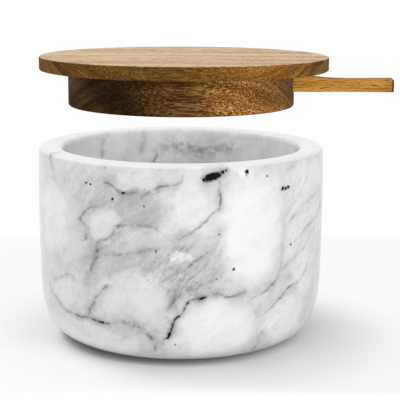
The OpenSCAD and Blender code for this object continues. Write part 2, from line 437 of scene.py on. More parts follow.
# The marble's figure on the front half, in mm: around is measured along the surface from the front
# line towards the handle's side, up from the foot. A vein is the way it runs, its core's half width and
# its points. One that runs "up" has them as (up, around, how dark), in order of height, and one that
# runs "round" as (around, up, how dark), in order of around.
AROUND_MM = 80
UP_MM = 70
VEINS = (
    ("up", 0.35, ((43.5, -2, 0), (44.5, 0, 0.3), (47.5, 5, 0.35), (49.5, 7, 0.45), (51.5, 9, 0.45),
        (54, 12, 0.5), (57.5, 12.5, 0.4), (61.5, 12.5, 0.3), (63, 12.5, 0))),
    ("round", 0.45, ((1, 22.5, 0), (4, 23.5, 0.6), (6.5, 24, 1), (8, 24.8, 0.7), (9.5, 25.5, 0.35),
        (12, 25.5, 0.3), (16, 24.5, 0.4), (19.5, 25, 0.5), (21.5, 25.5, 0.35), (23, 26, 0))),
    ("up", 0.45, ((4, -9, 0), (6, -9, 0.3), (8, -8.5, 0.45), (9.5, -6.5, 0.4), (10.5, -4.8, 0.8),
        (12.5, -4, 0.75), (15, -3, 0.7), (17, -2, 0.65), (19, 0, 0.6), (22, 2.5, 0.7), (23.5, 4, 0.8),
        (24.2, 6, 0))),
    ("up", 0.65, ((21, 21.5, 0), (23, 25, 0.3), (23.5, 28.5, 0.4), (25.5, 31.5, 0.45), (28, 34.5, 0.4),
        (31.5, 36.5, 0.22), (36, 37, 0.14), (42.5, 37, 0.12), (46.5, 37.5, 0.12), (50, 39.5, 0.15),
        (54.5, 44.5, 0.15), (56, 49, 0))),
    ("up", 0.55, ((15, 26, 0), (16, 28, 0.2), (18.5, 33, 0.3), (21.5, 37.5, 0.45), (23.5, 41, 0.5),
        (25.5, 46, 0.35), (27, 49.5, 0.3), (33, 53.5, 0.12), (43, 58.5, 0.15), (46, 61, 0))),
    ("round", 0.45, ((-58, 22, 0), (-56.5, 20.5, 0.25), (-50, 17.5, 0.25), (-42.5, 14.5, 0.35),
        (-37.5, 14, 0.65), (-34.5, 14.5, 0.4), (-29.5, 14, 0.7), (-24.5, 13.5, 0.25), (-22, 14.5, 0))),
    ("round", 1.2, ((-26, 13.5, 0), (-20, 15.5, 0.3), (-16, 14.5, 0.38), (-11.5, 12.5, 0.4),
        (-8.5, 9.5, 0.45), (-5, 9, 0))),
    ("up", 0.75, ((13.5, -34, 0), (14.5, -34, 0.4), (17, -33.5, 0.45), (20.5, -31, 0.35), (24, -28, 0.4),
        (26.5, -26, 0.35), (28, -25, 0))),
    ("up", 0.9, ((25, -35.5, 0), (27.5, -34.5, 0.25), (30, -33.5, 0.28), (34.5, -30.5, 0.4),
        (38.5, -28.5, 0.5), (41, -29, 0.3), (42.5, -26.5, 0.35), (45, -22.5, 0.3), (48, -21, 0.4),
        (49.5, -20, 0))),
    ("round", 0.7, ((-22, 48, 0), (-20, 48.3, 0.3), (-17, 48.5, 0.25), (-11.5, 48.5, 0.3), (-9, 48, 0.2),
        (-6, 47, 0))),
    ("round", 0.5, ((-14, 57, 0), (-12.5, 57.5, 0.3), (-6.5, 60.5, 0.4), (-3, 61.5, 0.3), (0.5, 62.5, 0.25),
        (1.5, 64.5, 0.2), (2, 66, 0))),
    ("round", 0.5, ((-27, 62, 0), (-26, 61.5, 0.4), (-23, 60.5, 0.3), (-19, 58, 0.4), (-15.5, 58.5, 0.2),
        (-13, 58.5, 0))),
    ("up", 0.5, ((39.5, -37, 0), (40.5, -36, 0.25), (41.5, -34, 0.35), (45.5, -34.5, 0.3), (49, -36, 0.35),
        (51, -34, 0.35), (53, -30, 0.25), (54, -27, 0))),
    ("round", 0.4, ((-7, 30, 0), (-5.5, 30.5, 0.25), (0.5, 33.5, 0.25), (4, 36.5, 0.35), (7, 39.5, 0.3),
        (9, 41, 0))),
    ("round", 0.4, ((-28, 37, 0), (-26, 37, 0.2), (-18.5, 38, 0.25), (-9, 40.5, 0.2), (-6, 41, 0))),
    ("up", 1.1, ((19, -4, 0), (21.5, -3.5, 0.3), (26, -1, 0.35), (29, -0.5, 0.25), (31, 0, 0))),
    ("up", 0.45, ((2, 29, 0), (3.5, 29, 0.35), (8, 28.5, 0.3), (9, 29.5, 0.3), (11, 30.5, 0))),
    ("up", 0.6, ((61, -51, 0), (64, -53, 0.3), (66.5, -55, 0.35), (67.5, -56.5, 0.3), (69, -58, 0))),
    ("round", 0.5, ((-53, 24.5, 0), (-50.5, 25, 0.25), (-42, 27.5, 0.25), (-39.5, 26.5, 0.2), (-37, 26, 0))),
    ("round", 0.6, ((37, 43, 0), (38.5, 45, 0.15), (42.5, 48.5, 0.25), (49.5, 52, 0.2), (60, 53.5, 0.2),
        (66, 56, 0))),
    ("round", 0.6, ((43, 38, 0), (45, 40, 0.15), (51.5, 43, 0.25), (60.5, 46, 0.3), (70, 52, 0))),
    ("round", 0.6, ((34, 29, 0), (35.5, 30, 0.25), (45.5, 35, 0.2), (56.5, 42, 0.15), (64, 46, 0))),
    ("round", 0.8, ((6, 63, 0), (8, 63.2, 0.5), (11.5, 64.3, 0.6), (14.5, 65.8, 0.35), (16.5, 66, 0))),
)

# Dark specks of ore: (around, up, radius), in mm
SPECKS = (
    (13.6, 65.3, 0.9), (14.8, 65.9, 0.6), (7.6, 62.8, 1), (22.5, 65.2, 1.2), (22.2, 64, 0.51),
    (30, 63.3, 0.59), (36.6, 57.9, 1.05), (38, 57.6, 0.9), (39.4, 58, 1.05), (-34, 60.5, 0.59),
    (-32.5, 59.8, 0.68), (-26, 66.5, 0.38), (-26, 61.5, 0.42), (-19, 58, 0.72), (-23, 56, 0.64),
    (-12, 59.5, 0.42), (-7, 59, 0.42), (-12.5, 54.5, 0.55), (-21, 48, 0.51), (-28.5, 38.5, 0.51),
    (-18, 38, 0.38), (-8.5, 40, 0.51), (-9, 37, 0.42), (2, 40.5, 0.42), (12.5, 45.5, 0.47),
    (17.5, 33.5, 0.64), (11, 31, 0.47), (40.5, 38.5, 0.68), (-2.5, 8, 0.51), (-25.5, 26.5, 0.42),
)

# A speck of this radius or more is fully dark, out to this share of its radius
FULL_SPECK_MM = 0.65
SPECK_CORE = 0.45

# One larger spot of ore in the rim: its middle, its half width and height, and its lean
ORE_LENS = {"place": (10.4, 63.9, 0), "size": (3.8, 2, 1), "lean": math.radians(20)}

# Clear pebbles between the clouds: (around, up, half width, half height, how clear), in mm. The last one, at
# the front of the rim, is a painted highlight.
PEBBLES_AND_PAINTED_HIGHLIGHT = (
    (25, 47, 13, 21, 1), (12.5, 13, 16, 12, 0.86), (3.5, 55, 8, 9.5, 0.68), (-26.5, 47, 6.5, 6, 0.62),
    (-17.5, 23.5, 15, 10.5, 0.5), (0, 38, 3.4, 2.2, 0.6), (-52, 46, 12, 14, 0.8), (40, 13, 12, 9.5, 0.92),
    (50, 30, 9, 12, 0.85), (52, 60, 14, 7, 0.85), (-40, 6, 30, 7, 0.6), (-14, 62, 8, 4, 0.55),
    # The last entry is a painted highlight, not a pebble
    (-46, 22, 8, 6, 0.62), (50, 44, 14, 23, 0.88), (20.3, 65.4, 2.8, 2.8, 0.9),
)

# Veins on the back of the inside, with around measured from the back line towards the handle's side
INNER_VEINS = (
    ("up", 1, ((58, -34, 0), (59, -34, 0.26), (63, -33.5, 0.22), (68, -30.5, 0.14), (69.5, -30, 0))),
    ("up", 1, ((57, -15.5, 0), (59.5, -15.5, 0.26), (67, -14.5, 0.15), (69, -14.5, 0))),
    ("up", 0.5, ((54, -11.5, 0), (55.5, -11, 0.35), (58, -9.5, 0.3), (59.5, -9, 0))),
    ("round", 2.4, ((-14, 58.5, 0), (-9, 59, 0.2), (-2.5, 60.5, 0.32), (8.5, 59.5, 0.36), (20, 60.5, 0.26),
        (28, 62, 0.1), (32, 62, 0))),
)

# Grey clouds: (around, up, half width, half height, how dark), in mm
CLOUDS = (
    (-20, 54, 18, 11, 0.36), (2, 34, 15, 15, 0.34), (-28, 38, 10, 18, 0.22), (-14, 36, 16, 10, 0.28),
    (-18, 10, 22, 8, 0.12), (-2, 22, 6, 7, 0.5), (5, 28, 9, 5, 0.4),
)

# Bands of fine slanting streaks: (around, up, half width, half height, how dark), in mm
STREAKS = (
    (1, 33, 15, 13, 1), (50, 42, 13, 24, 0.65), (-26, 36, 20, 20, 0.3), (-22, 58, 18, 8, 0.4),
    (-48, 30, 14, 14, 0.2), (-30, 12, 24, 7, 0.25), (36, 16, 16, 9, 0.3), (4, 57, 10, 8, 0.2),
)

# Sizes of the stone's pebbles and crystals, of the grains that break the veins up and of the fields
# where flaws show
PEBBLE_MM = 24
CRYSTAL_MM = 1.6
GRAIN_MM = 2.6
FLAW_MM = 9

# The ground runs from cloud at 0 to white at 1 and is pale at this share. A pebble outside the drawing
# is between the next two, and the crystals have the third against the wisps.
PALE_SHARE = 0.4
PEBBLE_LEAST, PEBBLE_MOST = 0.66, 0.96
CRYSTAL_SHARE = 0.45

# How much of the fine streaks shows outside the drawing, and inside it where there are no flaws
REST_STREAKS = 0.25
LEAST_STREAKS = 0.4

# How wide the drawing is each way, and how far into it the line lies from which it is measured, in mm
DRAWING = {"round": (2 * AROUND_MM, AROUND_MM), "up": (UP_MM, 0)}

# How far a vein's grey haze reaches, in widths of its core, and how dark the haze and the core are
HAZE_REACH = 5
HAZE_DEPTH = 0.3
CORE_DEPTH = 1.5


def add_vein(add, shares, vein, broken, darkest):
    """One drawn vein, as a dark core in a grey haze, with the core broken up by a noise. Returns the
    darker of it and what was there."""
    runs, half_w_mm, points = vein
    crosses = "round" if runs == "up" else "up"
    (run_mm, run_start), (across_mm, across_start) = DRAWING[runs], DRAWING[crosses]
    places = [(along + run_start) / run_mm for along, _, _ in points]
    line = add("FloatCurve", {"Value": shares[runs]})
    fill_curve(line, [(place, (p[1] + across_start) / across_mm) for place, p in zip(places, points)])
    strength = add("FloatCurve", {"Value": shares[runs]})
    fill_curve(strength, [(place, p[2]) for place, p in zip(places, points)])
    off = add("Math", [shares[crosses], line], operation="SUBTRACT")
    squared = add("Math", [off, off], operation="MULTIPLY")
    cored = add("Math", [strength, broken], operation="MULTIPLY")
    layers = []
    for reach, depth, dark in ((1, CORE_DEPTH, cored), (HAZE_REACH, HAZE_DEPTH, strength)):
        narrow = (across_mm / (reach * half_w_mm)) ** 2 / depth
        spread = add("Math", [squared, narrow, 1 / depth], operation="MULTIPLY_ADD")
        layers.append(add("Math", [dark, spread], operation="DIVIDE"))
    shade = add("Math", layers, operation="ADD", use_clamp=True)
    return add("Math", [shade, darkest], operation="MAXIMUM")


def add_patches(add, spot, patches, inner, outer):
    """The strongest of soft oval patches on the surface, each (around, up, half width, half height,
    strength). A patch is full at the inner share of its size and gone at the outer one."""
    strongest = 0
    for x_mm, z_mm, half_w, half_h, strength in patches:
        offset = add("VectorMath", [spot, (x_mm, z_mm, 0)], operation="SUBTRACT")
        shrunk = add("VectorMath", [offset, (1 / half_w, 1 / half_h, 0)], operation="MULTIPLY")
        reach = add("VectorMath", [shrunk], operation="LENGTH")
        inside = add(
            "MapRange", {"Value": reach, "From Min": outer, "From Max": inner, "To Max": strength}, **SMOOTH)
        strongest = add("Math", [inside, strongest], operation="MAXIMUM")
    return strongest


def moved(add, vector, noise, reach_mm):
    """A vector moved about by a noise, by up to about half its reach."""
    centred = add("VectorMath", [noise.outputs["Color"], (0.5, 0.5, 0.5)], operation="SUBTRACT")
    return add("VectorMath", [centred, (reach_mm,) * 3, vector], operation="MULTIPLY_ADD")


def warp(add, vector, size_mm, detail, reach_mm):
    """A vector moved about by a noise of its own, of a given size."""
    noise = add("TexNoise", {"Vector": vector, "Scale": 1 / size_mm, "Detail": detail})
    return moved(add, vector, noise, reach_mm)


def stretched_noise(add, vector, size_mm, detail, roughness=0.5, turn=(0, 0, 0)):
    """A noise drawn out to a size each way, after a turn in degrees."""
    run = add(
        "Mapping",
        {"Vector": vector, "Rotation": [math.radians(degrees) for degrees in turn], "Scale": size_mm},
        vector_type="TEXTURE")
    return add("TexNoise", {"Vector": run, "Scale": 1, "Detail": detail, "Roughness": roughness})


def unrolled(add, vector, radius_mm, to_back=False):
    """The turned surface laid flat: a vector of (around, up) in mm, and both as shares of the drawing.
    Around is measured from the front line, or from the back line with to_back."""
    axes = add("SeparateXYZ", [vector])
    ahead = add("Math", [axes.outputs["Y"], 1 if to_back else -1], operation="MULTIPLY")
    turn = add("Math", [axes.outputs["X"], ahead], operation="ARCTAN2")
    around = add("Math", [turn, radius_mm], operation="MULTIPLY")
    shares = {}
    for way, distance in (("round", around), ("up", axes.outputs["Z"])):
        width, start = DRAWING[way]
        shares[way] = add("Math", [distance, 1 / width, start / width], operation="MULTIPLY_ADD")
    return add("CombineXYZ", {"X": around, "Y": axes.outputs["Z"]}), shares


def polished_marble(s):
    """White marble, turned and polished: grey clouds round clear pebbles, thin dark cracks in a grey
    haze and a few specks of ore. The polish gives it a clear, low gloss, dulled a little in the cracks."""
    material = bpy.data.materials.new("polished_white_marble")
    add = start_nodes(material)
    in_mm = add(
        "Mapping",
        {"Vector": add("TexCoord").outputs["Object"], "Scale": (MM_PER_M,) * 3,
         "Location": (0, 0, -BOWL_LOW.z / MM)})
    bowl_r_mm, rim_mm = BOWL_SIZE.x / 2 / MM, BOWL_SIZE.z / MM
    mouth_r_mm = bowl_r_mm - s.wall_t / MM
    wavy = warp(add, in_mm, size_mm=9, detail=1, reach_mm=3.2)
    frayed = warp(add, wavy, size_mm=2.2, detail=3, reach_mm=2)
    drifting = warp(add, wavy, size_mm=5, detail=4, reach_mm=9)
    bent = warp(add, wavy, size_mm=2.8, detail=2, reach_mm=1.3)
    grainy = warp(add, bent, size_mm=0.5, detail=1, reach_mm=0.6)
    chipped = warp(add, wavy, size_mm=0.8, detail=3, reach_mm=1.1)
    soft_spot, _ = unrolled(add, drifting, bowl_r_mm)
    speck_spot, _ = unrolled(add, chipped, bowl_r_mm)
    spot, shares = unrolled(add, grainy, bowl_r_mm)
    _, inner_shares = unrolled(add, grainy, mouth_r_mm, to_back=True)

    # The drawn figure covers the front of the outside; past it the stone goes on by itself
    distance = add("SeparateXYZ", [soft_spot])
    aside = add("Math", [distance.outputs["X"]], operation="ABSOLUTE")
    drawn = add("MapRange", {"Value": aside, "From Min": 79, "From Max": 68}, **SMOOTH)
    flat = add("VectorMath", [in_mm, (1, 1, 0)], operation="MULTIPLY")
    radius = add("VectorMath", [flat], operation="LENGTH")
    outside = add("MapRange", {"Value": radius, "From Min": mouth_r_mm + 0.5, "From Max": mouth_r_mm + 3})
    front = add("Math", [drawn, outside], operation="MULTIPLY")

    # Pebbles of the rest of the stone, with grey cloud between them, and one painted highlight at the front
    # of the rim
    cells = add("TexVoronoi", {"Vector": frayed, "Scale": 1 / PEBBLE_MM}, feature="DISTANCE_TO_EDGE")
    cell_tint = add("TexVoronoi", {"Vector": frayed, "Scale": 1 / PEBBLE_MM})
    tint_axes = add("SeparateXYZ", [cell_tint.outputs["Color"]])
    body = add("MapRange", {"Value": cells, "From Max": 0.3, "To Min": 0.5, "To Max": 1}, **SMOOTH)
    tinted = add("MapRange", {"Value": tint_axes.outputs["X"], "To Min": PEBBLE_LEAST, "To Max": PEBBLE_MOST})
    rest = add("Math", [body, tinted], operation="MULTIPLY")
    # These patches include the painted highlight at the front of the rim
    pebbles = add_patches(add, soft_spot, PEBBLES_AND_PAINTED_HIGHLIGHT, inner=0.55, outer=1.35)
    clouds = add_patches(add, soft_spot, CLOUDS, inner=0, outer=1.4)
    ground_share = add("Math", [PALE_SHARE, clouds], operation="SUBTRACT")
    pebbled_and_highlit = add("Math", [pebbles, ground_share], operation="MAXIMUM")
    stone = add("Mix", {0: front, 2: rest, 3: pebbled_and_highlit}, data_type="FLOAT")

    # The stone is made whiter over the top of the rim
    heights = add("SeparateXYZ", [in_mm])
    rim = add("MapRange", {"Value": heights.outputs["Z"], "From Min": rim_mm - 1.4, "From Max": rim_mm - 0.3})
    stone = add("Math", [stone, rim], operation="MAXIMUM")

    # Clouds drift over both, in long slanting wisps, and the crystals are uneven
    wisps = stretched_noise(add, in_mm, (10, 8, 4.5), detail=3, turn=(0, -38, 0))
    crystals = add("TexNoise", {"Vector": in_mm, "Scale": 1 / CRYSTAL_MM, "Detail": 4, "Roughness": 0.7})
    uneven = add("Mix", {0: CRYSTAL_SHARE, 2: wisps, 3: crystals}, data_type="FLOAT")
    drift = add(
        "MapRange", {"Value": uneven, "From Min": 0.3, "From Max": 0.7, "To Min": -0.26, "To Max": 0.26})
    clouded = add("Math", [stone, drift], operation="ADD", use_clamp=True)
    ground = add("ValToRGB", {"Fac": clouded})
    fill_ramp(ground, [(0, s.cloud), (PALE_SHARE, s.pale), (1, s.white)])

    # Fine slanting streaks, in bands
    streak_noise = stretched_noise(add, spot, (5, 1, 1), detail=5, roughness=0.7, turn=(0, 0, 47))
    streak = add("MapRange", {"Value": streak_noise, "From Min": 0.47, "From Max": 0.7, "To Max": 0.9})
    patchy = add("TexNoise", {"Vector": in_mm, "Scale": 1 / FLAW_MM, "Detail": 2})
    shown = add("MapRange", {"Value": patchy, "From Min": 0.42, "From Max": 0.64})
    band = add_patches(add, soft_spot, STREAKS, inner=0.5, outer=1.2)
    banded = add("Mix", {0: front, 2: REST_STREAKS, 3: band}, data_type="FLOAT")
    patched = add("MapRange", {"Value": shown, "To Min": LEAST_STREAKS})
    patched = add("Math", [patched, banded], operation="MULTIPLY")
    dark = add("Math", [streak, patched], operation="MULTIPLY")

    # Cracks of the rest of the stone follow some of the pebbles' edges, below the rim
    crack = add("MapRange", {"Value": cells, "From Min": 0.03, "From Max": 0, "To Max": 0.5})
    cracked = add("Math", [crack, shown], operation="MULTIPLY")
    undrawn = add("Math", [1, drawn], operation="SUBTRACT")
    loose = add("Math", [undrawn, outside], operation="MULTIPLY")
    below_rim = add("Math", [loose, rim], operation="SUBTRACT", use_clamp=True)
    rest_dark = add("Math", [cracked, below_rim], operation="MULTIPLY")
    dark = add("Math", [rest_dark, dark], operation="MAXIMUM")

    # Veins and specks of the outside, then the veins of the inside
    grains = add("TexNoise", {"Vector": in_mm, "Scale": 1 / GRAIN_MM, "Detail": 4, "Roughness": 0.6})
    broken = add("MapRange", {"Value": grains, "From Min": 0.38, "From Max": 0.6, "To Min": 0.25})
    figure = 0
    for vein in VEINS:
        figure = add_vein(add, shares, vein, broken, figure)
    for x_mm, z_mm, radius_mm in SPECKS:
        away = add("VectorMath", [speck_spot, (x_mm, z_mm, 0)], operation="DISTANCE")
        speck = add(
            "MapRange",
            {"Value": away, "From Min": radius_mm, "From Max": radius_mm * SPECK_CORE,
             "To Max": min(1, radius_mm / FULL_SPECK_MM)})
        figure = add("Math", [speck, figure], operation="MAXIMUM")
    lens_run = add(
        "Mapping",
        {"Vector": speck_spot, "Location": ORE_LENS["place"], "Rotation": (0, 0, ORE_LENS["lean"]),
         "Scale": ORE_LENS["size"]},
        vector_type="TEXTURE")
    lens = add("VectorMath", [lens_run], operation="LENGTH")
    ore = add("MapRange", {"Value": lens, "From Min": 1.1, "From Max": 0.6})
    figure = add("Math", [ore, figure], operation="MAXIMUM")
    inside = add("Math", [1, outside], operation="SUBTRACT")
    inner_figure = 0
    for vein in INNER_VEINS:
        inner_figure = add_vein(add, inner_shares, vein, broken, inner_figure)
    for part, share in ((figure, outside), (inner_figure, inside)):
        part = add("Math", [part, share], operation="MULTIPLY")
        dark = add("Math", [part, dark], operation="MAXIMUM")

    stained = add("Mix", {0: dark, 6: ground, 7: (*s.vein, 1)}, data_type="RGBA")
    gloss = add("MapRange", {"Value": dark, "To Min": 0.16, "To Max": 0.34})
    sheen = add("MapRange", {"Value": dark, "To Min": 0.5, "To Max": 0.08})
    shader = add(
        "BsdfPrincipled",
        {"Base Color": stained, "Roughness": gloss, "Specular IOR Level": sheen, "IOR": 1.49})
    add("OutputMaterial", {"Surface": shader})
    return material


# How each piece of wood was cut: the grain runs along X after the tilt and the turn, in degrees, from a
# place in the tree. Pores, speckle and fibre share say how strong each is. A patch is heartwood or pale
# wood: its middle and half width along X, its lean, and how much lighter it is.
DISC_GRAIN = {
    "tilt": -34, "turn": 3, "from_mm": (20, 35, 60), "layer_mm": 3.4, "bend_mm": 7,
    "patches": ((-22, 21, -0.9, 0.7), (27, 14, -0.5, 1.65), (-24, 2.6, 1.6, 0.55), (29.5, 1.6, -1.6, 0.6)),
    "pores": 0.55, "pore_mm": 0.42, "speckle": 0.5, "fibre_share": 0.62,
}
PLUG_GRAIN = {
    "tilt": 24, "turn": -4, "from_mm": (-15, 80, 5), "layer_mm": 2.6, "bend_mm": 6,
    "patches": ((-27, 20, 0.3, 0.27), (22, 15, 0.5, 3.0), (-33, 5, 0.9, 1.9), (-21, 5, 0.9, 0.7)),
    "pores": 0.6, "pore_mm": 0.34, "speckle": 0.6, "fibre_share": 0.66,
}
SPOON_GRAIN = {
    "tilt": 15, "turn": 1, "from_mm": (5, 20, 110), "layer_mm": 2.2, "bend_mm": 2.5,
    "patches": ((75, 6, 0, 0.76),),
    "pores": 0.85, "pore_mm": 0.3, "speckle": 0.2, "fibre_share": 0.42, "dark_end_mm": SPOON_HIGH.x / MM,
}

# Size of the sparkle of cut fibres
CUT_FIBRE_MM = 0.45

# How far the patches wander against the bend of the layers, and the shares of a patch's half width
# between which it fades
WANDER = 2.5
PATCH_FULL = 0.4
PATCH_GONE = 1.4

# A pore against the darkest wood, and worn rubber against new
PORE_SHADE = 0.35
WORN_GAIN = 2.2


def oiled_wood(name, grain, side, top, end_share):
    """Sawn and turned wood, sanded and rubbed with oil: layers of growth that bend slowly, long fibres
    and short dark pores. Side and top are (light, mid, dark) colours; the top's are paler, which is painted
    light from above and painted sheen. End grain drinks more oil, so it is darker, and shows the pores as
    dots."""
    material = bpy.data.materials.new(name)
    add = start_nodes(material)
    coordinates = add("TexCoord")
    in_mm = add(
        "Mapping",
        {"Vector": coordinates.outputs["Object"], "Scale": (MM_PER_M,) * 3,
         "Rotation": (math.radians(grain["tilt"]), 0, math.radians(grain["turn"])),
         "Location": grain["from_mm"]})
    bend = stretched_noise(add, in_mm, (60, 22, 22), detail=0)
    bent = moved(add, in_mm, bend, grain["bend_mm"])

    # Growth layers lie flat along the grain; fibres are drawn half a millimetre wide so that they show
    layers = stretched_noise(add, bent, (120, 26, grain["layer_mm"]), detail=3, roughness=0.62)
    fibres = stretched_noise(add, bent, (9, 0.34, 0.34), detail=3, roughness=0.7)
    figure = add("Mix", {0: grain["fibre_share"], 2: layers, 3: fibres}, data_type="FLOAT")
    side_ground = add("ValToRGB", {"Fac": figure})
    painted_lit_top_ground = add("ValToRGB", {"Fac": figure})
    for ground, (light, mid, dark), places in (
        (side_ground, side, (0.4, 0.5, 0.61)), (painted_lit_top_ground, top, (0.42, 0.5, 0.58)),
    ):
        fill_ramp(ground, list(zip(places, (dark, mid, light))))

    # Heartwood and pale wood cross the piece from top to bottom, and wander
    raw_mm = add("VectorMath", {0: coordinates.outputs["Object"], "Scale": MM_PER_M}, operation="SCALE")
    axes = add("SeparateXYZ", [moved(add, raw_mm, bend, grain["bend_mm"] * WANDER)])
    plug_middle_mm = (PLUG_LOW.z + PLUG_HIGH.z) / 2 / MM
    tinted = side_ground
    for middle, half_w, lean, lightness in grain["patches"]:
        leaning = add("Math", [axes.outputs["Z"], lean, axes.outputs["X"]], operation="MULTIPLY_ADD")
        off = add("Math", [leaning, middle + lean * plug_middle_mm], operation="SUBTRACT")
        apart = add("Math", [off], operation="ABSOLUTE")
        tint = add(
            "MapRange",
            {"Value": apart, "From Min": half_w * PATCH_GONE, "From Max": half_w * PATCH_FULL, "To Min": 1,
             "To Max": lightness},
            **SMOOTH)
        tinted = add("VectorMath", {0: tinted, "Scale": tint}, operation="SCALE")

    # Painted light: faces that point up take the top's colours, made paler as light from above and sheen
    # would
    normal_axes = add("SeparateXYZ", [coordinates.outputs["Normal"]])
    painted_top_light_mask = add(
        "MapRange", {"Value": normal_axes.outputs["Z"], "From Min": 0.5, "From Max": 0.98}, **SMOOTH)
    faced = add("Mix", {0: painted_top_light_mask, 6: tinted, 7: painted_lit_top_ground}, data_type="RGBA")

    # Pores, a few millimetres long and a few tenths wide, and a fine sparkle of cut fibres
    pore_mm, speckle = grain["pore_mm"], grain["speckle"]
    pore_noise = stretched_noise(add, in_mm, (8 * pore_mm, pore_mm, pore_mm), detail=1, roughness=0.4)
    pores = add(
        "MapRange", {"Value": pore_noise, "From Min": 0.57, "From Max": 0.7, "To Max": grain["pores"]})
    pore_colour = (*(c * PORE_SHADE for c in side[2]), 1)
    pored = add("Mix", {0: pores, 6: faced, 7: pore_colour}, data_type="RGBA")
    cut_fibres = add("TexNoise", {"Vector": in_mm, "Scale": 1 / CUT_FIBRE_MM, "Detail": 3, "Roughness": 0.8})
    shade = add(
        "MapRange",
        {"Value": cut_fibres, "From Min": 0.32, "From Max": 0.68, "To Min": 1 - speckle,
         "To Max": 1 + speckle})

    # End grain, and a darker band over the last millimetre or so of the spoon's end
    facing = add("Math", [normal_axes.outputs["X"]], operation="ABSOLUTE")
    end_grain = add(
        "MapRange", {"Value": facing, "From Min": 0.35, "From Max": 0.95, "To Min": 1, "To Max": end_share},
        **SMOOTH)
    shade = add("Math", [shade, end_grain], operation="MULTIPLY")
    if "dark_end_mm" in grain:
        raw_axes = add("SeparateXYZ", [raw_mm])
        darker_end_band = add(
            "MapRange",
            {"Value": raw_axes.outputs["X"], "From Min": grain["dark_end_mm"] - 1.6,
             "From Max": grain["dark_end_mm"] - 1.1, "To Min": 1, "To Max": 0.3})
        shade = add("Math", [shade, darker_end_band], operation="MULTIPLY")
    oiled = add("VectorMath", {0: pored, "Scale": shade}, operation="SCALE")
    sheen = add(
        "MapRange", {"Value": fibres, "From Min": 0.3, "From Max": 0.7, "To Min": 0.62, "To Max": 0.8})
    sunk = add("Math", [fibres, pores], operation="SUBTRACT")
    relief = add("Bump", {"Height": sunk, "Strength": 0.35, "Distance": 0.1 * MM})
    shader = add(
        "BsdfPrincipled",
        {"Base Color": oiled, "Roughness": sheen, "Specular IOR Level": 0.05, "Normal": relief})
    add("OutputMaterial", {"Surface": shader})
    return material


def moulded_rubber(s):
    """Dark rubber, moulded: a matt skin with a fine, even grain."""
    material = bpy.data.materials.new("moulded_rubber")
    add = start_nodes(material)
    grain = add(
        "TexNoise",
        {"Vector": add("TexCoord").outputs["Object"], "Scale": 1 / (0.3 * MM), "Detail": 2})
    tone = add("ValToRGB", {"Fac": grain})
    fill_ramp(tone, [(0.3, s.rubber), (0.8, [min(1, c * WORN_GAIN) for c in s.rubber])])
    relief = add("Bump", {"Height": grain, "Strength": 0.5, "Distance": 0.03 * MM})
    shader = add("BsdfPrincipled", {"Base Color": tone, "Roughness": 0.75, "Normal": relief})
    add("OutputMaterial", {"Surface": shader})
    return material


def seen_by_rays(add):
    """1 for the rays that show a thing: from the camera, off a gloss or through glass. 0 for the rest."""
    rays = add("LightPath")
    seen = 0
    for kind in ("Camera", "Glossy", "Transmission"):
        seen = add("Math", [rays.outputs[f"Is {kind} Ray"], seen], operation="MAXIMUM")
    return seen


def matt_floor(s):
    """A pale matt sweep, with painted contact shade: its colour is darkened by ambient occlusion near the
    bowl, more to -X than to +X. Far from the object it is plain white to the eye and in reflections."""
    material = bpy.data.materials.new("matt_floor")
    add = start_nodes(material)
    place = add("TexCoord").outputs["Object"]
    axes = add("SeparateXYZ", [place])
    # Painted shade: ambient occlusion darkens the floor's colour at the contact, deeper to -X where less
    # light falls
    contact = add("AmbientOcclusion", {"Distance": 3 * MM}, samples=8)
    least = add(
        "MapRange",
        {"Value": axes.outputs["X"], "From Min": -30 * MM, "From Max": 30 * MM, "To Min": s.painted_contact_shade_left,
         "To Max": s.painted_contact_shade_right})
    lit_share = add("MapRange", {"Value": contact.outputs["AO"], "To Min": least, "To Max": 1})
    shaded = add("VectorMath", {0: s.floor, "Scale": lit_share}, operation="SCALE")
    apart = add("VectorMath", [place], operation="LENGTH")
    away = 0
    for distance, from_mm, to_mm, whitest in (
        (axes.outputs["Y"], 110, 165, 1), (axes.outputs["Y"], -58, -72, 1), (apart, 44, 85, s.floor_share),
    ):
        share = add(
            "MapRange",
            {"Value": distance, "From Min": from_mm * MM, "From Max": to_mm * MM, "To Max": whitest},
            **SMOOTH)
        away = add("Math", [share, away], operation="MAXIMUM")
    white_share = add("Math", [seen_by_rays(add), away], operation="MULTIPLY")
    shader = add("BsdfPrincipled", {"Base Color": shaded, "Roughness": 0.9, "Specular IOR Level": 0.1})
    both = add("MixShader", [white_share, shader, add("Emission")])
    add("OutputMaterial", {"Surface": both})
    return material


# Operators


